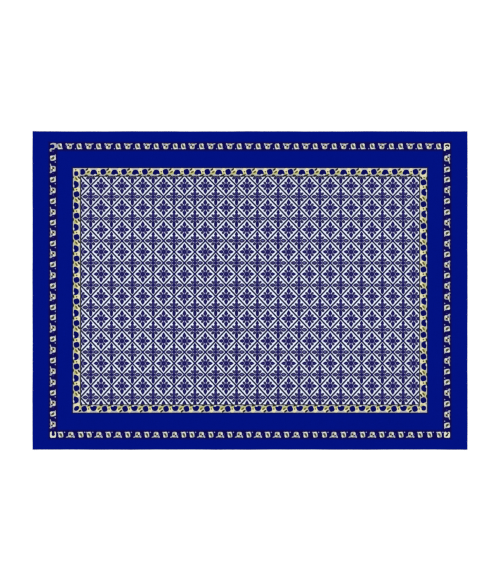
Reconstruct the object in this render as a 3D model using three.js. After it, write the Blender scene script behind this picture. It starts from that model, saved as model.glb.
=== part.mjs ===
// A kanga: one rectangular length of printed cotton, spread flat with its printed face up.
// Millimetres. +X runs along the cloth, +Y across it towards the top of its design, +Z up.
// The origin is the middle of its footprint, on the surface that it lies on.
import * as THREE from "three";

const { smoothstep, clamp, degToRad } = THREE.MathUtils;

// Size of the finished cloth.
const CLOTH_LENGTH = 1500;
const CLOTH_WIDTH = 1098;

// Thicknesses. Real cotton of this kind is about 0.35 mm, so each is that of a sturdier stand-in.
const SHEET_THICKNESS = 1.2;
const HEM_THICKNESS = 2.4;
const SELVEDGE_THICKNESS = 1.5;

// The two cut ends are turned over twice and sewn down, so the cloth is thicker there.
const HEM_WIDTH = 10;
const HEM_STEP = 1.6;

// The two long sides are woven edges, a little denser than the cloth between them.
const SELVEDGE_WIDTH = 7;
const SELVEDGE_STEP = 2;

// Cells of the cloth between its borders: fine enough for the broad swells below.
const CELLS_ALONG = 27;
const CELLS_ACROSS = 21;

// Low swells where the cloth isn't pressed dead flat. Each is a soft oval about (x, y): its reach
// along and across its own line, that line's turn from +X in degrees, and how far it rises.
const SWELLS = [
  { x: -470, y: 250, along: 330, across: 120, turn: 28, rise: 0.5 },
  { x: -180, y: -260, along: 380, across: 110, turn: -14, rise: 0.45 },
  { x: 60, y: 190, along: 300, across: 140, turn: 64, rise: 0.4 },
  { x: 400, y: -60, along: 360, across: 120, turn: 22, rise: 0.5 },
  { x: 520, y: 330, along: 240, across: 110, turn: -35, rise: 0.4 },
  { x: -560, y: -330, along: 240, across: 100, turn: 12, rise: 0.35 },
];

// The swells reach their full height this far in from each edge, and die away at its border.
const SWELL_FADE = 90;

// How much of a border's extra thickness is left at a distance in from the edge.
function borderShare(distance, width, step) {
  return 1 - smoothstep(distance, width - step, width);
}

// How far the swells lift the printed face at a place.
function swellHeight(x, y) {
  const total = SWELLS.reduce((sum, swell) => {
    const turn = degToRad(swell.turn);
    const dx = x - swell.x;
    const dy = y - swell.y;
    const u = (dx * Math.cos(turn) + dy * Math.sin(turn)) / swell.along;
    const v = (dy * Math.cos(turn) - dx * Math.sin(turn)) / swell.across;
    return sum + swell.rise * Math.exp(-(u * u + v * v));
  }, 0);
  const toEnd = CLOTH_LENGTH / 2 - Math.abs(x);
  const toSide = CLOTH_WIDTH / 2 - Math.abs(y);
  return total * smoothstep(Math.min(toEnd, toSide), HEM_WIDTH, SWELL_FADE);
}

// A rounded rim: half the height at the edge itself, and the whole of it one radius further in.
function roundedRim(distance, height) {
  const radius = height / 2;
  const left = 1 - clamp(distance / radius, 0, 1);
  return radius + radius * Math.sqrt(1 - left * left);
}

// Height of the printed face above the floor.
function faceHeight(x, y) {
  const toEnd = CLOTH_LENGTH / 2 - Math.abs(x);
  const toSide = CLOTH_WIDTH / 2 - Math.abs(y);
  const hem = (HEM_THICKNESS - SHEET_THICKNESS) * borderShare(toEnd, HEM_WIDTH, HEM_STEP);
  const selvedge =
    (SELVEDGE_THICKNESS - SHEET_THICKNESS) * borderShare(toSide, SELVEDGE_WIDTH, SELVEDGE_STEP);
  const height = SHEET_THICKNESS + Math.max(hem, selvedge) + swellHeight(x, y);
  return Math.min(roundedRim(toEnd, height), roundedRim(toSide, height));
}

// Places of the grid's lines over one side: close together on its borders, even between them.
function gridLines(length, borderWidth, step, thickness, cells) {
  const rim = [0, thickness * 0.1, thickness * 0.5];
  const border = [...rim, borderWidth - step, borderWidth];
  const between = length - 2 * borderWidth;
  const middle = Array.from({ length: cells - 1 }, (_, i) => borderWidth + (between * (i + 1)) / cells);
  const farSide = border.map((distance) => length - distance).reverse();
  return [...border, ...middle, ...farSide].map((place) => place - length / 2);
}

// The whole cloth as one closed sheet: a box of many cells, whose points are moved to the grid's
// lines and whose upper face is then raised to the cloth's height.
function sheetGeometry() {
  const columns = gridLines(CLOTH_LENGTH, HEM_WIDTH, HEM_STEP, HEM_THICKNESS, CELLS_ALONG);
  const rows = gridLines(
    CLOTH_WIDTH,
    SELVEDGE_WIDTH,
    SELVEDGE_STEP,
    SELVEDGE_THICKNESS,
    CELLS_ACROSS,
  );
  const lastColumn = columns.length - 1;
  const lastRow = rows.length - 1;
  const sheet = new THREE.BoxGeometry(1, 1, 1, lastColumn, lastRow, 1);
  const points = sheet.getAttribute("position");
  for (let i = 0; i < points.count; i += 1) {
    const x = columns[Math.round((points.getX(i) + 0.5) * lastColumn)];
    const y = rows[Math.round((points.getY(i) + 0.5) * lastRow)];
    const onFace = points.getZ(i) > 0;
    points.setXYZ(i, x, y, onFace ? faceHeight(x, y) : 0);
  }
  sheet.computeVertexNormals();
  return sheet;
}

const printedCotton = new THREE.MeshStandardMaterial({
  color: 0x02117f,
  roughness: 0.9,
  metalness: 0,
});

const cloth = new THREE.Mesh(sheetGeometry(), printedCotton);
cloth.name = "kanga_cloth";

const kanga = new THREE.Group();
kanga.add(cloth);

export default kanga;
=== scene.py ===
"""A kanga spread flat: a thin printed cotton sheet with turned and sewn end hems, on a pale floor.

Metres, +Z up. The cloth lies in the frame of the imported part: +X along it, +Y across it towards the
top of its design. The print is worked out in millimetres from the same middle.
"""

import math
from collections import namedtuple

import bpy
import numpy as np
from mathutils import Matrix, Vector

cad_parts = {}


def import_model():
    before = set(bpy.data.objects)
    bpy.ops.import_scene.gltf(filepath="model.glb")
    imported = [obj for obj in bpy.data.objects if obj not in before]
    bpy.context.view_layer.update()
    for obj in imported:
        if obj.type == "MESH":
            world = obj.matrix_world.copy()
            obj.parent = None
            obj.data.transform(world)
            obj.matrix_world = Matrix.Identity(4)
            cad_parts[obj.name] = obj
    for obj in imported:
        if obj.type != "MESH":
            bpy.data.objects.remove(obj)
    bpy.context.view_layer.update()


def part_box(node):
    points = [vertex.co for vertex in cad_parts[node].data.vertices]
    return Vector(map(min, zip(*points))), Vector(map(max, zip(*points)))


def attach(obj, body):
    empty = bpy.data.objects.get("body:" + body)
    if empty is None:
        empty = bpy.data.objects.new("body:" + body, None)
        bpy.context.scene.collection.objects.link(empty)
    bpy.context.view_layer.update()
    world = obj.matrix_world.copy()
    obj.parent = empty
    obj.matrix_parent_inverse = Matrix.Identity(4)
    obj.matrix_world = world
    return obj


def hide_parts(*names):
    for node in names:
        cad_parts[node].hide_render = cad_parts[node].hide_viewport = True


MM = 0.001

# The sheet, in metres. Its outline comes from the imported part. Each end is turned over twice and
# sewn down, and beside a hem the cloth comes down to the floor over its ease.
COTTON = 0.7 * MM
HEM_LAYERS = 3
HEM_WIDTH = 10 * MM
HEM_EASE = 14 * MM
# On the underside the turned cloth ends in a steep step: its start inside the hem, its end outside.
HEM_STEP_START = 0.1 * MM
HEM_STEP_END = 0.2 * MM

# The long sides are woven edges, a little thicker than the cloth between them.
SELVEDGE_WIDTH = 7 * MM
SELVEDGE_STEP = 2 * MM
SELVEDGE_EXTRA = 0.2 * MM

# Radius of the rounded rims: half the thickness there.
END_RIM = HEM_LAYERS * COTTON / 2
SIDE_RIM = (COTTON + SELVEDGE_EXTRA) / 2

# The sewing of a hem: how far in it runs, the groove that it pulls into the cloth, and its thread.
STITCH_INSET = 8.3 * MM
STITCH_TROUGH = 0.9 * MM
STITCH_PULL = 0.30 * MM
STITCH_PITCH = 3.0 * MM
STITCH_LENGTH = 2.6 * MM
STITCH_END_GAP = 5 * MM
THREAD_RADIUS = 0.17 * MM

# Puckers beside the sewing. Two slow waves make some of them stronger than others.
PUCKER_RISE = 0.10 * MM
PUCKER_REACH = 9 * MM
PUCKER_PITCH = 23 * MM
PUCKER_SLANT = 0.7
PUCKER_UNEVEN = 0.3
PUCKER_LONG_WAVE = 170 * MM
PUCKER_SHORT_WAVE = 73 * MM

# The edges waver: each wave's height and length, and its share in an edge's own seed. The power
# says how fast the waver dies away from an edge.
EdgeWave = namedtuple("EdgeWave", "height length seed_share")
EDGE_WAVES = [EdgeWave(0.22 * MM, 0.41, 1.0), EdgeWave(0.12 * MM, 0.137, 2.3)]
END_SEED = 1.7
SIDE_SEED = 0.9
WAVER_POWER = 12

# The sheet's grid: lines in from each end and each side, close together on the rims, along the
# sewing and at the hem's inner edge, and the size of the cells between those borders.
END_BORDER = [
    distance * MM
    for distance in (0, 0.08, 0.3, 0.65, 1.05, 3, 5, 6.5, 7.4, 8.3, 9.2, 9.9, 10.2, 12, 14.5, 17, 20, 24)
]
SIDE_BORDER = [distance * MM for distance in (0, 0.05, 0.15, 0.3, 0.45, 2.5, 5, 6, 7)]
CELL_ALONG = 18 * MM
CELL_ACROSS = 5 * MM

# The sheet's map, from 0 to 1: the printed face fills the upper part and the underside the lower.
MAP_MARGIN = 0.01
FACE_MAP_START = 0.29
FACE_MAP_HEIGHT = 0.70
UNDER_MAP_HEIGHT = 0.26

# A stitch's rings of points, in shares of its length and of the thread's radius: the place along
# it, the ring's radius, and how high its middle lies. The two ends are sunk into the cloth.
Ring = namedtuple("Ring", "along radius lift")
STITCH_RINGS = [Ring(-0.42, 0.85, 0.35), Ring(0.0, 1.0, 0.75), Ring(0.42, 0.85, 0.35)]
STITCH_SIDES = 5
STITCH_SUNK = 0.9
# On the stitches' map, the room beside and at both ends of a stitch in its own cell.
STITCH_MAP_SIDE = 0.1
STITCH_MAP_END = 0.05

# Low swells where the cloth isn't pressed dead flat, as in the solid: a place, the reach along and
# across the swell's own line, that line's turn in degrees, and the rise.
Swell = namedtuple("Swell", "x y along across turn rise")
SWELLS = [
    Swell(-0.470, 0.250, 0.330, 0.120, 28, 0.50 * MM),
    Swell(-0.180, -0.260, 0.380, 0.110, -14, 0.45 * MM),
    Swell(0.060, 0.190, 0.300, 0.140, 64, 0.40 * MM),
    Swell(0.400, -0.060, 0.360, 0.120, 22, 0.50 * MM),
    Swell(0.520, 0.330, 0.240, 0.110, -35, 0.40 * MM),
    Swell(-0.560, -0.330, 0.240, 0.100, 12, 0.35 * MM),
]
SWELL_FADE = 0.090

# Light. The sky and the soft lamp together make a white surface a little brighter than white.
SKY = 1.0
LAMP = 0.12
LAMP_TILT = 38
LAMP_TURN = -40
LAMP_SPREAD = 45

# The camera looks straight down at the middle of the cloth, and its frame is this tall there.
FRAME_HEIGHT = 2.0043
CAMERA_HEIGHT = 5.0
SENSOR = 36.0
FLOOR_SIZE = 40.0
FLOOR_DROP = 0.2 * MM
FLOOR_WHITE = (0.97, 0.97, 0.97, 1.0)
# How many pixels wide each pixel's own sampling is: a crisp picture, like the printed cloth.
PIXEL_REACH = 1.1


def smoothstep(values, start, end):
    """0 before start, 1 past end, and a soft S between them."""
    share = np.clip((values - start) / (end - start), 0, 1)
    return share * share * (3 - 2 * share)


def ink(red, green, blue):
    """The linear colour that looks like this one under the scene's light."""
    level = SKY + LAMP

    def linear(value):
        part = value / 255
        return part / 12.92 if part <= 0.04045 else ((part + 0.055) / 1.055) ** 2.4

    return (linear(red) / level, linear(green) / level, linear(blue) / level, 1.0)


# The inks of the print, as they look, from 0 to 255.
GROUND_BLUE = ink(1, 17, 131)
BAND_NAVY = ink(14, 10, 82)
EDGE_NAVY = ink(14, 20, 74)
LINE_NAVY = ink(28, 36, 58)
CROSSING_NAVY = ink(20, 15, 86)
PETAL_NAVY = ink(26, 22, 86)
LEAF_NAVY = ink(44, 44, 82)
VEIN_PURPLE = ink(48, 44, 112)
MID_PURPLE = ink(78, 74, 140)
LILAC = ink(172, 172, 216)
LATTICE_WHITE = ink(231, 238, 245)
PALE_LILAC = ink(178, 179, 191)
CREAM = ink(224, 220, 184)
STRIP_CREAM = ink(220, 222, 212)
PETAL_LILAC = ink(168, 171, 196)
BLOB_BLUE = ink(10, 12, 92)
OLIVE = ink(104, 98, 44)
OLIVE_CREAM = ink(190, 192, 130)
DULL_CREAM = ink(178, 176, 150)
DUSTY_OLIVE = ink(126, 122, 98)
DARK_OLIVE = ink(44, 44, 36)
STROKE_OLIVE = ink(74, 78, 50)
SEED_BROWN = ink(38, 32, 20)
SPOT_PURPLE = ink(46, 34, 124)
SPOT_LILAC = ink(132, 136, 206)
SPOT_WHITE = ink(208, 210, 228)
EYE_LILAC = ink(102, 102, 168)
EYE_PURPLE = ink(66, 62, 126)
THREAD_BLUE = ink(4, 24, 124)

# The underside: the print shows so much paler there, towards this colour.
UNDERSIDE_PALE = ink(150, 160, 205)
UNDERSIDE_SHARE = 0.22

# The cotton: its gloss, the spacing of its yarns, and how much they show as painted shade and highlight
# in the colour and in relief.
# Thick and thin yarns vary so many times a metre across themselves and along, and so do clouds.
COTTON_ROUGHNESS = 0.95
SHEEN = 0.02
SHEEN_ROUGHNESS = 0.6
SHEEN_TINT = (0.25, 0.35, 1.0, 1.0)
YARN_PITCH = 0.42 * MM
# Painted shade and highlight: the colour is darker where the yarns' relief is low and lighter where it
# is high, by this share.
YARN_RELIEF_PAINTED_SHADE = 0.10
SLUBS_ACROSS = 1100
SLUBS_ALONG = 30
SLUB_SHADE = 0.22
CLOUDS = 9
CLOUD_SHADE = 0.05
WEAVE_DEPTH = 0.08 * MM
WEAVE_STRENGTH = 0.5

# The thread: its gloss, and the spacing of its two plies and the painted shade between them.
THREAD_ROUGHNESS = 0.8
THREAD_SPECULAR = 0.1
PLY_PITCH = 0.45 * MM
# Painted shade: how much the thread's colour darkens and lightens along the twist of its plies.
PLY_PAINTED_SHADE = 0.12

# A mark of the print, in millimetres: a rounded shape about (x, y), turned from the X direction by
# some degrees. It reaches front ahead of that point and back behind it, and half to either side.
# A point of 1 makes it a rhombus, 1.4 a leaf, 2 an oval and 4 a block with round corners.
Mark = namedtuple("Mark", "ink x y front back half turn point")


def mark(colour, x, y, front, half, turn=0, point=2.0, back=None):
    """A mark, with its back as long as its front unless another length is given."""
    return Mark(colour, x, y, front, front if back is None else back, half, turn, point)


# The field is a lattice of crossing lines. A rose fills every other diamond and a sprig the rest.
FIELD_HALF_LENGTH = 582.6
FIELD_HALF_WIDTH = 392.5
FIELD_OUTLINE = 3.5
FIELD_MIDDLE_X = 0.5
# The lattice is raised a little in its middle and sinks towards the top and the bottom: by the drop
# at this distance out.
LATTICE_RAISE = 0.7
LATTICE_DROP = 3.4
LATTICE_DROP_AT = 375.0
LATTICE_PITCH_X = 71.86
LATTICE_PITCH_Y = 76.8
ROSE_X = -585.4
ROSE_Y = 363.1
SPRIG_X = ROSE_X + LATTICE_PITCH_X / 2
SPRIG_Y = ROSE_Y - LATTICE_PITCH_Y / 2
LINE_HALF = 2.5
CROSSING_RADIUS = 5.0
CROSSING_SOFTNESS = 4.0
# The pale rim round the dark shapes.
HALO = 1.2
HALO_SOFTNESS = 2.6

# Marks of a rose, for one quarter of it: it is the same to the left and right, up and down. The
# first few marks of a rose and of a sprig have a pale rim round them.
ROSE_RIMMED = 4
ROSE = [
    mark(MID_PURPLE, 0, 0, 12.2, 11.8),
    mark(PETAL_NAVY, 0, 16.0, 12.6, 7.0, turn=90, point=1.35, back=5.2),
    mark(PETAL_NAVY, 15.0, 0, 10.4, 6.4, point=1.4, back=5.6),
    mark(LEAF_NAVY, 10.0, 10.2, 5.2, 4.5, turn=45, point=1.8, back=6.2),
    mark(PETAL_NAVY, 0, 0, 6.9, 6.9),
    mark(LILAC, 3.8, 9.7, 1.8, 1.6),
    mark(LILAC, 9.2, 0, 1.0, 1.8),
    mark(VEIN_PURPLE, 0, 16.4, 3.0, 1.3, turn=90, point=1.6),
    mark(VEIN_PURPLE, 15.2, 0, 2.6, 1.2, point=1.6),
    mark(VEIN_PURPLE, 0, 0, 1.8, 1.8),
]

# Marks of a sprig, for its right half: the left is its mirror image but for the eyes' middles.
SPRIG_RIMMED = 7
SPRIG = [
    mark(MID_PURPLE, 0, 0, 10.2, 10.2),
    mark(VEIN_PURPLE, 0, 11.4, 8.2, 5.4, turn=90, point=2.6),
    mark(PETAL_NAVY, 0, 21.0, 10.4, 6.0, turn=90, point=1.3, back=3.4),
    mark(PETAL_NAVY, 0, -18.4, 12.2, 5.8, turn=-90, point=2.0, back=9.6),
    mark(LEAF_NAVY, 17.8, 0, 10.8, 6.9, point=1.5, back=8.6),
    mark(LEAF_NAVY, 10.0, 10.4, 5.4, 4.2, turn=45, point=1.7, back=9.4),
    mark(LEAF_NAVY, 10.0, -10.6, 6.2, 4.9, turn=-42, point=1.8, back=9.4),
    mark(PETAL_NAVY, 0, 0, 5.8, 4.6),
    mark(LILAC, 5.6, 4.6, 1.2, 1.1),
    mark(LILAC, 5.6, -5.6, 1.5, 1.3),
]
SPRIG_EYES = [
    mark(EYE_LILAC, 18.0, 0.3, 3.4, 2.1),
    mark(EYE_PURPLE, -17.6, 0.3, 3.4, 2.1),
]

# The inner frame runs round the field. Its marks repeat along it: x along the run, y in from the
# outer edge. At the two ends the same run is turned to have its y out from the field.
FRAME_HALF_LENGTH = 610.5
FRAME_HALF_WIDTH = 421.5
FRAME_MIDDLE_Y = 0.6
FRAME_END_DEPTH = 25.0
FRAME_SIDE_DEPTH = 28.5
FRAME_PITCH = 71.9
FRAME_OUTLINE = 4.8
FRAME_OUTLINE_SOFTNESS = 6.0
FRAME = [
    mark(CREAM, 22.0, 10.2, 9.4, 9.4),
    mark(CREAM, 57.0, 11.6, 8.4, 11.6),
    mark(DULL_CREAM, 9.6, 17.0, 4.0, 6.4),
    mark(OLIVE_CREAM, 21.0, 17.6, 8.4, 4.6, turn=-16),
    mark(OLIVE_CREAM, 55.6, 19.6, 6.4, 3.6),
    mark(BLOB_BLUE, 0.3, 12.8, 9.6, 9.9, turn=-22, point=2.8),
    mark(BLOB_BLUE, 39.8, 19.4, 14.4, 12.2, turn=-90, point=2.1, back=3.8),
    mark(SPOT_WHITE, 44.4, 22.6, 4.2, 2.2, turn=-8),
    mark(DARK_OLIVE, 15.9, 4.8, 6.2, 3.2, turn=-38),
    mark(OLIVE, 20.4, 13.2, 6.4, 3.2, turn=-36),
    mark(OLIVE, 57.0, 12.4, 3.0, 2.7),
    mark(DARK_OLIVE, 12.8, 25.6, 6.6, 3.9, turn=-12, point=1.6),
    mark(DARK_OLIVE, 53.0, 25.0, 9.4, 3.0, turn=-20, point=1.8),
]
FRAME_CORNERS = [
    mark(CREAM, -598.4, 406.2, 9.6, 12.6, point=4.0),
    mark(BLOB_BLUE, -599.2, 402.8, 7.7, 8.4, point=3.0),
    mark(OLIVE, -601.3, 415.6, 3.2, 2.6),
    mark(CREAM, 597.8, 404.8, 10.2, 13.4, point=4.0),
    mark(BLOB_BLUE, 599.2, 407.3, 10.6, 7.6, turn=45, point=1.7),
    mark(DARK_OLIVE, 587.6, 416.6, 4.6, 2.3, turn=50),
    mark(CREAM, -596.8, -405.0, 11.0, 13.2, point=4.0),
    mark(OLIVE_CREAM, -587.0, -401.4, 3.4, 7.6),
    mark(BLOB_BLUE, -598.2, -407.3, 10.4, 8.0, turn=40, point=1.8),
    mark(DARK_OLIVE, -586.8, -415.6, 5.4, 3.0, turn=40),
    mark(CREAM, 597.0, -405.2, 10.8, 13.2, point=4.0),
    mark(OLIVE_CREAM, 593.6, -396.4, 5.6, 3.6),
    mark(BLOB_BLUE, 599.2, -406.6, 8.2, 8.8, point=2.6),
    mark(BLOB_BLUE, 590.6, -402.6, 3.4, 2.2, turn=-20),
]

# The outer strip is a run of small blossoms on a navy band: x along the run from the blossom's
# middle, y in from the strip's outer edge.
STRIP_HALF_LENGTH = 690.8
STRIP_HALF_WIDTH = 508.3
STRIP_DEPTH = 22.4
STRIP_PITCH = 32.65
# The navy band reaches so far past the blossoms on both sides.
BAND_OVERHANG = 4.7
BAND_SOFTNESS = 7.5
BUD = [
    mark(PETAL_LILAC, 0.0, 11.0, 7.7, 9.6, turn=-9, point=5.0),
    mark(PETAL_LILAC, 7.8, 19.2, 2.8, 1.5),
    mark(STRIP_CREAM, 3.6, 6.2, 3.4, 4.4),
    mark(STRIP_CREAM, 0.8, 17.8, 5.6, 2.5),
    mark(STRIP_CREAM, -5.4, 11.0, 1.8, 5.0),
    mark(STROKE_OLIVE, -0.3, 10.8, 6.6, 3.6, turn=58),
    mark(DUSTY_OLIVE, -2.2, 5.0, 2.4, 1.6),
    mark(SPOT_LILAC, -12.2, 19.2, 2.2, 1.9),
]
TULIP = [
    mark(PETAL_LILAC, 0.0, 11.2, 8.4, 9.3, point=4.0),
    mark(PETAL_LILAC, -9.4, 4.4, 4.8, 3.0, turn=62),
    mark(PETAL_LILAC, 10.6, 3.2, 5.2, 1.8, turn=-16),
    mark(STRIP_CREAM, -3.4, 14.2, 3.8, 4.6),
    mark(STRIP_CREAM, 3.6, 6.4, 4.6, 2.2),
    mark(DULL_CREAM, 1.0, 17.0, 4.0, 2.4),
    mark(DUSTY_OLIVE, 0.4, 2.0, 4.4, 1.4),
    mark(DUSTY_OLIVE, 1.8, 9.8, 5.4, 2.2),
    mark(DARK_OLIVE, -3.5, 7.4, 3.3, 2.2, turn=-62),
    mark(SEED_BROWN, 2.2, 12.8, 3.4, 2.6, turn=-20),
    mark(SPOT_PURPLE, -13.8, 12.2, 1.9, 2.8),
]

# Each run of the strip is pieced from lengths of one ribbon, on which buds and tulips take turns.
# A length starts so far from its side's middle, going clockwise, has this room for each blossom,
# and begins with a bud (0) or a tulip (1).
Length = namedtuple("Length", "start pitch first")
STRIP_RUNS = {
    "top": [
        Length(-673.4, 33.6, 0),
        Length(-340.2, 33.05, 0),
        Length(-245.4, 30.0, 0),
        Length(-215.4, 32.07, 1),
        Length(-119.2, 32.77, 0),
        Length(371.9, 32.4, 0),
        Length(405.4, 32.9, 0),
        Length(503.2, 32.75, 0),
    ],
    "right": [
        Length(-474.5, 37.9, 1),
        Length(-401.0, 36.9, 0),
        Length(-288.6, 36.4, 0),
        Length(3.0, 36.85, 1),
        Length(297.2, 37.3, 0),
    ],
    "bottom": [
        Length(-669.6, 33.1, 0),
        Length(-636.5, 33.1, 0),
        Length(-603.4, 33.0, 0),
        Length(-240.8, 31.7, 0),
        Length(-208.4, 32.67, 0),
        Length(212.5, 31.8, 0),
        Length(404.8, 33.3, 0),
        Length(565.8, 34.8, 0),
    ],
    "left": [
        Length(-479.7, 36.2, 1),
        Length(-297.2, 37.1, 1),
        Length(-76.7, 36.95, 0),
        Length(108.0, 36.0, 1),
        Length(252.0, 37.25, 1),
    ],
}

# Where the inner frame's first round mark is on each side, and the room of one repeat there. On
# two sides the repeats are closer or wider from a place on.
FRAME_RUNS = {
    "top": [Length(-578.5, 71.82, 0)],
    "right": [Length(-379.3, 75.1, 0)],
    "bottom": [Length(-569.1, 71.70, 0), Length(147.9, 70.58, 0)],
    "left": [Length(-405.9, 73.92, 0), Length(37.6, 74.85, 0)],
}

# The strip's four corners, each with marks about the middle of its square, x right and y up.
CORNER_INSET = STRIP_DEPTH / 2
CORNERS = {
    (-1, 1): [
        mark(BAND_NAVY, 1.0, -12.4, 10.0, 2.2, point=4.0),
        mark(PALE_LILAC, 1.5, 0.5, 11.6, 11.2, point=3.0),
        mark(BAND_NAVY, -8.4, -0.5, 4.8, 6.4),
        mark(BAND_NAVY, 9.6, -9.8, 6.0, 4.2, turn=45),
        mark(BLOB_BLUE, -1.6, 0.2, 7.2, 7.2),
        mark(PALE_LILAC, -8.0, -11.2, 3.8, 3.0, turn=40),
    ],
    (1, 1): [
        mark(BAND_NAVY, 1.6, -12.4, 9.0, 2.2, point=4.0),
        mark(STRIP_CREAM, -0.2, 0.0, 10.4, 10.4, point=5.0),
        mark(STRIP_CREAM, -7.8, -11.6, 3.4, 3.2, point=3.0),
        mark(SEED_BROWN, 0.8, 2.2, 7.6, 5.2),
        mark(STRIP_CREAM, -0.8, -2.8, 3.8, 4.0),
        mark(STROKE_OLIVE, -1.2, -4.4, 2.2, 2.2),
    ],
    (-1, -1): [
        mark(STRIP_CREAM, 0.0, 0.0, 10.2, 10.4, point=5.0),
        mark(BAND_NAVY, 0.8, 7.6, 4.8, 7.8, point=2.5),
        mark(BAND_NAVY, 1.0, 1.0, 6.0, 5.8),
    ],
    (1, -1): [
        mark(STRIP_CREAM, 0.0, -0.4, 10.2, 10.0, point=5.0),
        mark(BAND_NAVY, 0.2, 10.0, 3.6, 3.6),
        mark(STROKE_OLIVE, 3.4, 3.8, 3.8, 2.8, turn=40),
        mark(SEED_BROWN, -0.8, -2.4, 5.6, 3.4, turn=42),
    ],
}

# The print's edges are this soft, and wander this far, in millimetres, so many times a metre.
PRINT_SOFTNESS = 0.9
PRINT_WANDER = 0.5
PRINT_WANDERS = 420


class Term:
    """A number that the shader works out at each point, so that formulas read as arithmetic."""

    def __init__(self, tree, source):
        self.tree = tree
        self.source = source

    def maths(self, operation, *others, clamped=False):
        """One sum on this number and the others, each of them a term or a plain number."""
        node = self.tree.nodes.new("ShaderNodeMath")
        node.operation = operation
        node.use_clamp = clamped
        for socket, value in zip(node.inputs, (self, *others)):
            if isinstance(value, Term):
                self.tree.links.new(value.source, socket)
            else:
                socket.default_value = value
        return Term(self.tree, node.outputs[0])

    def __add__(self, other):
        return self.maths("ADD", other)

    def __sub__(self, other):
        return self.maths("SUBTRACT", other)

    def __mul__(self, other):
        return self.maths("MULTIPLY", other)

    def __truediv__(self, other):
        return self.maths("DIVIDE", other)

    def __pow__(self, other):
        return self.maths("POWER", other)

    def __abs__(self):
        return self.maths("ABSOLUTE")

    def times_plus(self, factor, extra, clamped=False):
        """This times the factor, plus the extra."""
        return self.maths("MULTIPLY_ADD", factor, extra, clamped=clamped)

    def above(self, limit):
        """1 where this is more than the limit, and 0 elsewhere."""
        return self.maths("GREATER_THAN", limit)

    def wrapped(self, period):
        """The distance to the nearest whole number of periods."""
        return self.maths("WRAP", period / 2, -period / 2)


def larger(one, other):
    """The larger of the two at each point."""
    return one.maths("MAXIMUM", other)


def choose(where, chosen, otherwise):
    """The chosen number where the switch is 1, and the other where it is 0."""
    if isinstance(otherwise, Term):
        gain = (otherwise * -1) + chosen
    else:
        gain = chosen - otherwise
    return where.times_plus(gain, otherwise)


def lay_over(tree, below, colour, share):
    """A colour laid over what is below it, as far as the share goes: a term or a plain number."""
    node = tree.nodes.new("ShaderNodeMix")
    node.data_type = "RGBA"
    if isinstance(share, Term):
        tree.links.new(share.source, node.inputs[0])
    else:
        node.inputs[0].default_value = share
    for socket, value in ((node.inputs[6], below), (node.inputs[7], colour)):
        if isinstance(value, tuple):
            socket.default_value = value
        else:
            tree.links.new(value, socket)
    return node.outputs[2]


def depth_in(shape, x, y, period=None):
    """How deep a point lies inside a mark, in millimetres, and less than 0 outside it."""
    dx = x - shape.x
    dy = y - shape.y
    if period:
        dx = dx.wrapped(period)
    turn = math.radians(shape.turn)
    ahead = dx * (math.cos(turn) / shape.front)
    ahead = dy.times_plus(math.sin(turn) / shape.front, ahead)
    reach = larger(ahead, ahead * (-shape.front / shape.back))
    beside = dx * (-math.sin(turn) / shape.half)
    beside = abs(dy.times_plus(math.cos(turn) / shape.half, beside))
    spread = (reach**shape.point + beside**shape.point) ** (1 / shape.point)
    size = min(shape.front, shape.half)
    return spread.times_plus(-size, size)


def soft_edge(depth, softness=PRINT_SOFTNESS, shift=0.0):
    """1 where the depth is well above 0, 0 well below it, and a soft change between."""
    return depth.times_plus(1 / softness, 0.5 + shift / softness, clamped=True)


def paint(tree, colour, marks, x, y, period=None, where=None):
    """Lays marks over a colour one by one, all over or only where the switch is 1."""
    for shape in marks:
        share = soft_edge(depth_in(shape, x, y, period))
        if where is not None:
            share = share * where
        colour = lay_over(tree, colour, shape.ink, share)
    return colour


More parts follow.
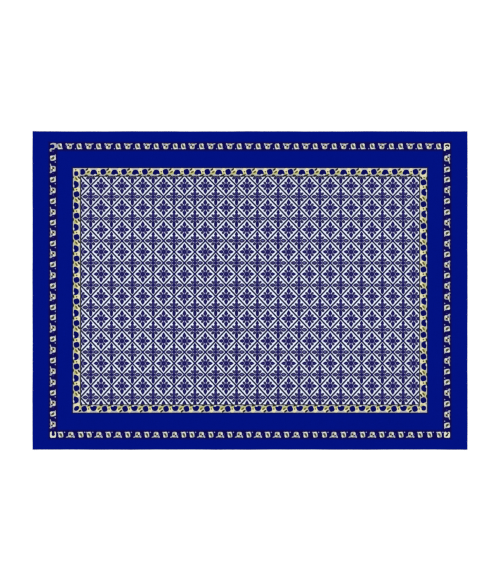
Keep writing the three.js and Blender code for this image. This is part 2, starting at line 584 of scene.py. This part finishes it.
def paint_field(tree, below, x, y):
    """The lattice with its roses and sprigs, and the dark line round it."""
    drop_share = (abs(y) * (1 / LATTICE_DROP_AT)) ** 4
    lattice_y = drop_share.times_plus(LATTICE_DROP, y - LATTICE_RAISE)
    rose_x = abs((x - ROSE_X).wrapped(LATTICE_PITCH_X))
    rose_y = abs((lattice_y - ROSE_Y).wrapped(LATTICE_PITCH_Y))
    sprig_x = abs((x - SPRIG_X).wrapped(LATTICE_PITCH_X))
    sprig_y = (lattice_y - SPRIG_Y).wrapped(LATTICE_PITCH_Y)
    diamond = rose_y.times_plus(2 / LATTICE_PITCH_Y, rose_x * (2 / LATTICE_PITCH_X))
    per_mm = math.hypot(2 / LATTICE_PITCH_X, 2 / LATTICE_PITCH_Y)
    line_depth = abs(diamond - 1).times_plus(-1 / per_mm, LINE_HALF)
    # A pale rim surrounds every dark shape.
    deepest = line_depth
    for shape in ROSE[:ROSE_RIMMED]:
        deepest = larger(deepest, depth_in(shape, rose_x, rose_y))
    for shape in SPRIG[:SPRIG_RIMMED]:
        deepest = larger(deepest, depth_in(shape, sprig_x, sprig_y))
    colour = lay_over(tree, LATTICE_WHITE, LILAC, soft_edge(deepest, HALO_SOFTNESS, HALO))
    colour = lay_over(tree, colour, LINE_NAVY, soft_edge(line_depth))
    colour = paint(tree, colour, ROSE, rose_x, rose_y)
    colour = paint(tree, colour, SPRIG, sprig_x, sprig_y)
    colour = paint(tree, colour, SPRIG_EYES, (x - SPRIG_X).wrapped(LATTICE_PITCH_X), sprig_y)
    to_side = rose_x - LATTICE_PITCH_X / 2
    across = to_side * to_side
    end_crossing = (rose_y.times_plus(rose_y, across)) ** 0.5
    to_top = rose_y - LATTICE_PITCH_Y / 2
    side_crossing = (to_top.times_plus(to_top, rose_x * rose_x)) ** 0.5
    nearest = end_crossing.maths("MINIMUM", side_crossing)
    at_crossing = soft_edge(nearest.times_plus(-1, CROSSING_RADIUS), CROSSING_SOFTNESS)
    colour = lay_over(tree, colour, CROSSING_NAVY, at_crossing * soft_edge(line_depth))

    beyond_x = abs(x - FIELD_MIDDLE_X) - FIELD_HALF_LENGTH
    beyond_y = abs(y) - FIELD_HALF_WIDTH
    outline_half = FIELD_HALF_LENGTH + FIELD_OUTLINE
    outline = larger(abs(x) - outline_half, beyond_y - FIELD_OUTLINE) * -1
    below = lay_over(tree, below, DARK_OLIVE, soft_edge(outline))
    return lay_over(tree, below, colour, soft_edge(larger(beyond_x, beyond_y) * -1))


def run_length(runs, along, on_end, right, top):
    """The start, pitch and first blossom of the length of ribbon that a point lies on."""
    passed = {name: [along.above(length.start) for length in runs[name][1:]] for name in runs}

    def value_on(name, part):
        values = [length[part] for length in runs[name]]
        total = values[0]
        for step, before, after in zip(passed[name], values, values[1:]):
            if after != before:
                total = step.times_plus(after - before, total)
        return total

    def value(part):
        ends = choose(right, value_on("right", part), value_on("left", part))
        sides = choose(top, value_on("top", part), value_on("bottom", part))
        return choose(on_end, ends, sides)

    return Length(value(0), value(1), value(2))


def paint_frame(tree, below, x, y):
    """The inner frame round the field, with a thin dark line outside it."""
    y = y - FRAME_MIDDLE_Y
    beyond_x = abs(x) - (FRAME_HALF_LENGTH - FRAME_END_DEPTH)
    beyond_y = abs(y) - (FRAME_HALF_WIDTH - FRAME_SIDE_DEPTH)
    on_end = beyond_x.above(0)
    right = x.above(0)
    top = y.above(0)
    along_side = x * choose(top, 1, -1)
    along_end = y * choose(right, 1, -1)
    along = choose(on_end, along_end, along_side)
    length = run_length(FRAME_RUNS, along, on_end, right, top)
    along = (along - length.start) / length.pitch * FRAME_PITCH
    inward = choose(on_end, beyond_x, beyond_y.times_plus(-1, FRAME_SIDE_DEPTH))
    colour = paint(tree, PALE_LILAC, FRAME, along, inward, FRAME_PITCH)
    in_corner = on_end * beyond_y.above(0)
    colour = lay_over(tree, colour, PALE_LILAC, in_corner)
    colour = paint(tree, colour, FRAME_CORNERS, x, y)
    outside = larger(beyond_x - FRAME_END_DEPTH, beyond_y - FRAME_SIDE_DEPTH)
    outline = soft_edge(outside.times_plus(-1, FRAME_OUTLINE), FRAME_OUTLINE_SOFTNESS)
    below = lay_over(tree, below, EDGE_NAVY, outline)
    return lay_over(tree, below, colour, soft_edge(outside * -1))


def paint_strip(tree, below, x, y):
    """The outer strip of blossoms on its navy band."""
    beyond_x = abs(x) - (STRIP_HALF_LENGTH - STRIP_DEPTH)
    beyond_y = abs(y) - (STRIP_HALF_WIDTH - STRIP_DEPTH)
    on_end = beyond_x.above(0)
    on_side = beyond_y.above(0)
    right = x.above(0)
    top = y.above(0)
    inward = larger(beyond_x, beyond_y).times_plus(-1, STRIP_DEPTH)
    band = abs(inward - STRIP_DEPTH / 2).times_plus(-1, STRIP_DEPTH / 2 + BAND_OVERHANG)
    colour = lay_over(tree, below, BAND_NAVY, soft_edge(band, BAND_SOFTNESS))

    along_side = x * choose(top, 1, -1)
    along_end = y * choose(right, -1, 1)
    along = choose(on_end, along_end, along_side)
    length = run_length(STRIP_RUNS, along, on_end, right, top)
    place = (along - length.start) / length.pitch
    whole = place.maths("FLOOR")
    across = (place - whole).times_plus(STRIP_PITCH, -STRIP_PITCH / 2)
    is_tulip = ((whole + length.first) * 0.5).maths("FRACT") * 2

    in_run = (on_end + on_side) * (on_end * on_side).times_plus(-1, 1)
    in_run = in_run * soft_edge(inward) * soft_edge(inward.times_plus(-1, STRIP_DEPTH))
    colour = paint(tree, colour, TULIP, across, inward, where=is_tulip * in_run)
    is_bud = is_tulip.times_plus(-1, 1)
    colour = paint(tree, colour, BUD, across, inward, where=is_bud * in_run)
    for (side_x, side_y), marks in CORNERS.items():
        middle_x = side_x * (STRIP_HALF_LENGTH - CORNER_INSET)
        middle_y = side_y * (STRIP_HALF_WIDTH - CORNER_INSET)
        colour = paint(tree, colour, marks, x - middle_x, y - middle_y)
    return colour


def noise_node(tree, vector, scale, detail):
    """Smooth noise about so many times a metre."""
    node = tree.nodes.new("ShaderNodeTexNoise")
    node.inputs["Scale"].default_value = scale
    node.inputs["Detail"].default_value = detail
    tree.links.new(vector, node.inputs["Vector"])
    return node


def noise_term(tree, vector, scale, detail):
    """The noise as a number about 0."""
    return Term(tree, noise_node(tree, vector, scale, detail).outputs[0]) - 0.5


def parts_of(tree, vector):
    """The x and y of a place."""
    parts = tree.nodes.new("ShaderNodeSeparateXYZ")
    tree.links.new(vector, parts.inputs[0])
    return Term(tree, parts.outputs[0]), Term(tree, parts.outputs[1])


def layer_group(name, painter):
    """A node group that paints one part of the print, in millimetres, over the colour below it."""
    tree = bpy.data.node_groups.new(name, "ShaderNodeTree")
    tree.interface.new_socket("Below", in_out="INPUT", socket_type="NodeSocketColor")
    tree.interface.new_socket("Place", in_out="INPUT", socket_type="NodeSocketVector")
    tree.interface.new_socket("Color", in_out="OUTPUT", socket_type="NodeSocketColor")
    inputs = tree.nodes.new("NodeGroupInput")
    outputs = tree.nodes.new("NodeGroupOutput")
    x, y = parts_of(tree, inputs.outputs["Place"])
    colour = painter(tree, inputs.outputs["Below"], x, y)
    tree.links.new(colour, outputs.inputs[0])
    return tree


def vector_maths(tree, operation, *values):
    """A sum done on all three parts of a vector. Each value is a socket or a plain vector."""
    node = tree.nodes.new("ShaderNodeVectorMath")
    node.operation = operation
    for socket, value in zip(node.inputs, values):
        if isinstance(value, tuple):
            socket.default_value = value
        else:
            tree.links.new(value, socket)
    return node.outputs[0]


def print_group():
    """The whole print as a node group: from a place on the cloth in metres to its colour."""
    tree = bpy.data.node_groups.new("kanga_print", "ShaderNodeTree")
    tree.interface.new_socket("Place", in_out="INPUT", socket_type="NodeSocketVector")
    tree.interface.new_socket("Color", in_out="OUTPUT", socket_type="NodeSocketColor")
    inputs = tree.nodes.new("NodeGroupInput")
    outputs = tree.nodes.new("NodeGroupOutput")
    place = inputs.outputs["Place"]

    # The edges of the print wander by a fraction of a millimetre, as ink does along the yarns.
    wander = noise_node(tree, place, PRINT_WANDERS, 1.0).outputs["Color"]
    reach = (2 * PRINT_WANDER,) * 3
    moved = vector_maths(tree, "MULTIPLY_ADD", wander, reach, (-PRINT_WANDER,) * 3)
    place = vector_maths(tree, "MULTIPLY_ADD", place, (1 / MM,) * 3, moved)
    layers = []
    for name, painter in (
        ("kanga_strip", paint_strip),
        ("kanga_frame", paint_frame),
        ("kanga_field", paint_field),
    ):
        layer = tree.nodes.new("ShaderNodeGroup")
        layer.node_tree = layer_group(name, painter)
        tree.links.new(place, layer.inputs["Place"])
        layers.append(layer)
    layers[0].inputs["Below"].default_value = GROUND_BLUE
    for below, above in zip(layers, layers[1:]):
        tree.links.new(below.outputs[0], above.inputs["Below"])
    tree.links.new(layers[-1].outputs[0], outputs.inputs[0])
    return tree


def shade_colour(tree, colour, shade, shader):
    """Gives the shader this colour, lighter or darker by a shade that is about 1."""
    tint = tree.nodes.new("ShaderNodeVectorMath")
    tint.operation = "SCALE"
    if isinstance(colour, tuple):
        tint.inputs[0].default_value = colour[:3]
    else:
        tree.links.new(colour, tint.inputs[0])
    tree.links.new(shade.source, tint.inputs["Scale"])
    tree.links.new(tint.outputs[0], shader.inputs["Base Color"])


def new_material(name, roughness, specular=0.0):
    """A material and its shader, with this gloss."""
    material = bpy.data.materials.new(name)
    material.use_nodes = True
    shader = material.node_tree.nodes["Principled BSDF"]
    shader.inputs["Roughness"].default_value = roughness
    shader.inputs["Specular IOR Level"].default_value = specular
    return material, shader


def show_weave(tree, place, colour, shader):
    """Yarns: a fine over-and-under relief, also painted into the colour as shade and highlight, with
    thicker and thinner yarns in both directions.
    """
    x, y = parts_of(tree, place)
    warp = (x * (math.pi / YARN_PITCH)).maths("SINE")
    weft = (y * (math.pi / YARN_PITCH)).maths("SINE")
    relief = warp * weft

    def slubs(scale_x, scale_y):
        stretched = vector_maths(tree, "MULTIPLY", place, (scale_x, scale_y, 1.0))
        return noise_term(tree, stretched, 1.0, 2.0)

    uneven = slubs(SLUBS_ACROSS, SLUBS_ALONG) + slubs(SLUBS_ALONG, SLUBS_ACROSS)
    cloudy = noise_term(tree, place, CLOUDS, 3.0)
    shade = uneven.times_plus(SLUB_SHADE, cloudy.times_plus(CLOUD_SHADE, 1.0))
    # Painted shade and highlight: the colour darkens where the yarn relief is low and lightens where it
    # is high, on top of the random tone of slubs and clouds.
    shade_colour(tree, colour, relief.times_plus(YARN_RELIEF_PAINTED_SHADE, shade), shader)

    bump = tree.nodes.new("ShaderNodeBump")
    bump.inputs["Strength"].default_value = WEAVE_STRENGTH
    bump.inputs["Distance"].default_value = WEAVE_DEPTH
    tree.links.new((uneven + relief).source, bump.inputs["Height"])
    tree.links.new(bump.outputs[0], shader.inputs["Normal"])


def cotton_material(name, group, paleness):
    """Matt plain-weave cotton with the print on it, paler where the ink shows through from behind."""
    material, shader = new_material(name, COTTON_ROUGHNESS)
    shader.inputs["Sheen Weight"].default_value = SHEEN
    shader.inputs["Sheen Roughness"].default_value = SHEEN_ROUGHNESS
    shader.inputs["Sheen Tint"].default_value = SHEEN_TINT
    tree = material.node_tree
    place = tree.nodes.new("ShaderNodeTexCoord").outputs["Object"]
    printed = tree.nodes.new("ShaderNodeGroup")
    printed.node_tree = group
    tree.links.new(place, printed.inputs[0])
    colour = printed.outputs[0]
    if paleness:
        colour = lay_over(tree, colour, UNDERSIDE_PALE, paleness)
    show_weave(tree, place, colour, shader)
    return material


def thread_material():
    """Matt sewing thread: its two plies show as fine slanted painted shade in its colour."""
    material, shader = new_material("sewing_thread", THREAD_ROUGHNESS, THREAD_SPECULAR)
    tree = material.node_tree
    x, y = parts_of(tree, tree.nodes.new("ShaderNodeTexCoord").outputs["Object"])
    # Painted shade: the thread's colour darkens and lightens along the twist of its plies.
    ply_painted_shade = ((x + y) * (2 * math.pi / PLY_PITCH)).maths("SINE")
    shade_colour(tree, THREAD_BLUE, ply_painted_shade.times_plus(PLY_PAINTED_SHADE, 1.0), shader)
    return material


def swell_height(x, y, length, width):
    """How far the low swells lift the cloth off the floor."""
    total = np.zeros_like(x)
    for swell in SWELLS:
        turn = math.radians(swell.turn)
        dx = x - swell.x
        dy = y - swell.y
        u = (dx * math.cos(turn) + dy * math.sin(turn)) / swell.along
        v = (dy * math.cos(turn) - dx * math.sin(turn)) / swell.across
        total += swell.rise * np.exp(-(u * u + v * v))
    to_edge = np.minimum(length / 2 - abs(x), width / 2 - abs(y))
    return total * smoothstep(to_edge, HEM_WIDTH, SWELL_FADE)


def hem_pucker(to_end, y, side):
    """Small slanted puckers that the sewing leaves along a hem."""
    reach = np.exp(-(((to_end - STITCH_INSET) / PUCKER_REACH) ** 2))
    slanted = np.sin((y + PUCKER_SLANT * to_end) * (2 * math.pi / PUCKER_PITCH))
    long_wave = np.sin(y * (2 * math.pi / PUCKER_LONG_WAVE) + side)
    short_wave = np.sin(y * (2 * math.pi / PUCKER_SHORT_WAVE) - 2 * side)
    strength = (1 - PUCKER_UNEVEN) + PUCKER_UNEVEN * (long_wave + short_wave) / 2
    return PUCKER_RISE * reach * (slanted * strength + 1)


def cloth_faces(x, y, length, width):
    """Heights of the printed face and of the underside at places on the cloth."""
    to_end = length / 2 - abs(x)
    to_side = width / 2 - abs(y)
    past_hem = smoothstep(to_end, HEM_WIDTH - HEM_STEP_START, HEM_WIDTH + HEM_STEP_END)
    eased = 1 - smoothstep(to_end, HEM_WIDTH, HEM_WIDTH + HEM_EASE)
    lift = (HEM_LAYERS - 1) * COTTON * eased
    past_edge = smoothstep(to_side, SELVEDGE_WIDTH - SELVEDGE_STEP, SELVEDGE_WIDTH)
    selvedge = SELVEDGE_EXTRA * (1 - past_edge)
    swell = swell_height(x, y, length, width)
    pull = STITCH_PULL * np.exp(-(((to_end - STITCH_INSET) / STITCH_TROUGH) ** 2))
    pucker = hem_pucker(to_end, y, np.sign(x))
    top = swell + lift + COTTON + selvedge + pucker - pull
    bottom = (swell + lift + pucker) * past_hem + pull
    return top, bottom


def rim_share(distance, radius):
    """Share of half the thickness at a distance in from a rounded rim."""
    left = 1 - np.clip(distance / radius, 0, 1)
    return np.sqrt(1 - left * left)


def grid_lines(size, border, step):
    """Places of the grid's lines over one side: the border's own at both ends, even between."""
    start = border[-1]
    between = size - 2 * start
    cells = round(between / step)
    middle = [start + between * i / cells for i in range(1, cells)]
    far = [size - distance for distance in reversed(border)]
    return np.array(border + middle + far) - size / 2


def edge_wander(place, seed):
    """A slow waver of a cloth's edge, under half a millimetre."""
    total = 0
    for wave in EDGE_WAVES:
        phase = place * (2 * math.pi / wave.length) + wave.seed_share * seed
        total = total + wave.height * np.sin(phase)
    return total


def grid_quads(columns, rows, flipped):
    """Corner numbers of a grid's cells, counter-clockwise seen from above unless flipped."""
    column, row = np.meshgrid(np.arange(columns - 1), np.arange(rows - 1), indexing="ij")
    first = (column * rows + row).ravel()
    quads = np.stack([first, first + rows, first + rows + 1, first + 1], axis=1)
    return quads[:, ::-1] if flipped else quads


def new_object(name, data):
    """A new object in the scene: a mesh, a lamp or a camera."""
    item = bpy.data.objects.new(name, data)
    bpy.context.scene.collection.objects.link(item)
    return item


def smooth_mesh(name, points, faces, spots):
    """A smooth mesh and its map, which has a spot for each corner of each face in turn."""
    mesh = bpy.data.meshes.new(name)
    mesh.from_pydata(points, [], faces)
    mesh.polygons.foreach_set("use_smooth", np.ones(len(faces), bool))
    uv_map = mesh.uv_layers.new(name="OFBake")
    uv_map.data.foreach_set("uv", spots.astype(np.float32).ravel())
    return mesh


def sheet_points(x, y, length, width):
    """Points of the printed face and of the underside, and which places lie on the rim."""
    top, bottom = cloth_faces(x, y, length, width)
    middle = (top + bottom) / 2
    half = (top - bottom) / 2
    end_share = rim_share(length / 2 - abs(x), END_RIM)
    side_share = rim_share(width / 2 - abs(y), SIDE_RIM)
    share = np.minimum(end_share, side_share)
    end_waver = edge_wander(y, np.sign(x) * END_SEED)
    side_waver = edge_wander(x, np.sign(y) * SIDE_SEED)
    moved_x = x + end_waver * (abs(x) / (length / 2)) ** WAVER_POWER
    moved_y = y + side_waver * (abs(y) / (width / 2)) ** WAVER_POWER
    upper = np.stack([moved_x, moved_y, middle + half * share], axis=-1).reshape(-1, 3)
    lower = np.stack([moved_x, moved_y, middle - half * share], axis=-1).reshape(-1, 3)
    return upper, lower, (share == 0).ravel()


def build_cloth(length, width, group):
    """The sheet: a printed face and an underside that meet along the rim."""
    columns = grid_lines(length, END_BORDER, CELL_ALONG)
    rows = grid_lines(width, SIDE_BORDER, CELL_ACROSS)
    x, y = np.meshgrid(columns, rows, indexing="ij")
    upper, lower, on_rim = sheet_points(x, y, length, width)
    upper_quads = grid_quads(len(columns), len(rows), flipped=False)
    lower_quads = grid_quads(len(columns), len(rows), flipped=True)

    # The underside uses the printed face's points along the rim, and points without a face go.
    number = np.arange(len(upper))
    lower_number = np.where(on_rim, number, number + len(upper))
    corners = np.concatenate([upper_quads, lower_number[lower_quads]])
    used, quads = np.unique(corners, return_inverse=True)
    quads = quads.reshape(corners.shape)
    points = np.concatenate([upper, lower])[used]

    along = MAP_MARGIN + (1 - 2 * MAP_MARGIN) * (x.ravel() / length + 0.5)
    across = y.ravel() / width + 0.5
    face_map = np.stack([along, FACE_MAP_START + FACE_MAP_HEIGHT * across], axis=1)
    under_map = np.stack([along, MAP_MARGIN + UNDER_MAP_HEIGHT * across], axis=1)
    spots = np.concatenate([face_map[upper_quads], under_map[lower_quads]])
    mesh = smooth_mesh("kanga_sheet", points.tolist(), quads.tolist(), spots)

    mesh.materials.append(cotton_material("printed_cotton", group, 0.0))
    mesh.materials.append(cotton_material("printed_cotton_underside", group, UNDERSIDE_SHARE))
    # On the underside, the turned hems show the printed side of the cloth again.
    from_middle = abs(x.ravel()[lower_quads].mean(axis=1))
    under = np.where(length / 2 - from_middle < HEM_WIDTH, 0, 1)
    kinds = np.concatenate([np.zeros(len(upper_quads), int), under])
    mesh.polygons.foreach_set("material_index", kinds.astype(np.int32))
    mesh.update()
    return new_object("kanga_sheet", mesh)


def stitch_points(x, y, height, rising):
    """One stitch along Y: it comes up out of the cloth, lies on it and goes down again.

    It rises by 1 from the printed face and by -1 from the underside.
    """
    sunk = height - STITCH_SUNK * THREAD_RADIUS * rising
    points = [(x, y - STITCH_LENGTH / 2, sunk)]
    for ring in STITCH_RINGS:
        for side in range(STITCH_SIDES):
            angle = 2 * math.pi * side / STITCH_SIDES
            point_x = x + THREAD_RADIUS * ring.radius * math.cos(angle)
            point_z = height + THREAD_RADIUS * (ring.lift * rising + ring.radius * math.sin(angle))
            points.append((point_x, y + STITCH_LENGTH * ring.along, point_z))
    points.append((x, y + STITCH_LENGTH / 2, sunk))
    return points


def stitch_faces(first):
    """Faces of one stitch whose first point has this number."""
    faces = []
    rings = len(STITCH_RINGS)
    last = first + 1 + rings * STITCH_SIDES
    for side in range(STITCH_SIDES):
        after = (side + 1) % STITCH_SIDES
        faces.append((first, first + 1 + side, first + 1 + after))
        for ring in range(rings - 1):
            near = first + 1 + ring * STITCH_SIDES
            far = near + STITCH_SIDES
            faces.append((near + side, far + side, far + after, near + after))
        end = last - STITCH_SIDES
        faces.append((end + side, last, end + after))
    return faces


def stitch_spots(count, faces):
    """Where the stitches' corners lie on their map: each stitch has its own cell of a square grid."""
    rings = len(STITCH_RINGS)
    in_cell = [(0.5, STITCH_MAP_END)]
    for ring in range(rings):
        for side in range(STITCH_SIDES):
            across = STITCH_MAP_SIDE + (1 - 2 * STITCH_MAP_SIDE) * side / (STITCH_SIDES - 1)
            in_cell.append((across, (ring + 1) / (rings + 1)))
    in_cell.append((0.5, 1 - STITCH_MAP_END))
    grid = math.ceil(math.sqrt(count))
    point = np.concatenate([np.array(face) for face in faces])
    cell = point // len(in_cell)
    place = np.array(in_cell)[point % len(in_cell)]
    return (np.stack([cell % grid, cell // grid], axis=1) + place) / grid


def build_stitches(length, width):
    """Both hems' rows of stitches, above and below, as one mesh."""
    count = int((width - 2 * STITCH_END_GAP) / STITCH_PITCH)
    first_y = -(count - 1) * STITCH_PITCH / 2
    places = []
    for end in (-1, 1):
        for i in range(count):
            x = end * (length / 2 - STITCH_INSET)
            y = first_y + i * STITCH_PITCH
            places.append((x, y, 1))
            places.append((x, y + STITCH_PITCH / 2, -1))
    xs = np.array([place[0] for place in places])
    ys = np.array([place[1] for place in places])
    top, bottom = cloth_faces(xs, ys, length, width)
    points = []
    faces = []
    for (x, y, rising), upper, lower in zip(places, top, bottom):
        faces.extend(stitch_faces(len(points)))
        points.extend(stitch_points(x, y, upper if rising > 0 else lower, rising))
    mesh = smooth_mesh("hem_stitches", points, faces, stitch_spots(len(places), faces))
    mesh.materials.append(thread_material())
    mesh.update()
    return new_object("hem_stitches", mesh)


def build_floor():
    """A white floor under the cloth. It belongs to the picture and not to the part."""
    half = FLOOR_SIZE / 2
    corners = [(-half, -half), (half, -half), (half, half), (-half, half)]
    mesh = bpy.data.meshes.new("floor")
    mesh.from_pydata([(x, y, -FLOOR_DROP) for x, y in corners], [], [(0, 1, 2, 3)])
    material, shader = new_material("white_floor", 1.0)
    shader.inputs["Base Color"].default_value = FLOOR_WHITE
    mesh.materials.append(material)
    new_object("floor", mesh)


def build_light():
    """An even sky and a soft lamp that slants a little, so that the relief shows."""
    world = bpy.data.worlds.new("pale_sky")
    world.use_nodes = True
    background = world.node_tree.nodes["Background"]
    background.inputs["Color"].default_value = (1.0, 1.0, 1.0, 1.0)
    background.inputs["Strength"].default_value = SKY
    bpy.context.scene.world = world
    lamp = bpy.data.lights.new("soft_lamp", "SUN")
    tilt = math.radians(LAMP_TILT)
    lamp.energy = LAMP * math.pi / math.cos(tilt)
    lamp.angle = math.radians(LAMP_SPREAD)
    holder = new_object("soft_lamp", lamp)
    holder.rotation_euler = (tilt, 0, math.radians(LAMP_TURN))
    bpy.context.scene.view_settings.view_transform = "Standard"


def build_camera():
    """The camera over the middle of the cloth."""
    data = bpy.data.cameras.new("camera")
    data.sensor_width = SENSOR
    data.lens = SENSOR * CAMERA_HEIGHT / FRAME_HEIGHT
    camera = new_object("camera", data)
    camera.location = (0, 0, CAMERA_HEIGHT)
    bpy.context.scene.camera = camera
    bpy.context.scene.cycles.filter_width = PIXEL_REACH


def main():
    """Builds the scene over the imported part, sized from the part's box."""
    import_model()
    low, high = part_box("kanga_cloth")
    length = high.x - low.x
    width = high.y - low.y
    build_camera()
    build_light()
    build_floor()

    sheet = build_cloth(length, width, print_group())
    stitches = build_stitches(length, width)
    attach(sheet, "root")
    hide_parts("kanga_cloth")
    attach(stitches, "root")


main()
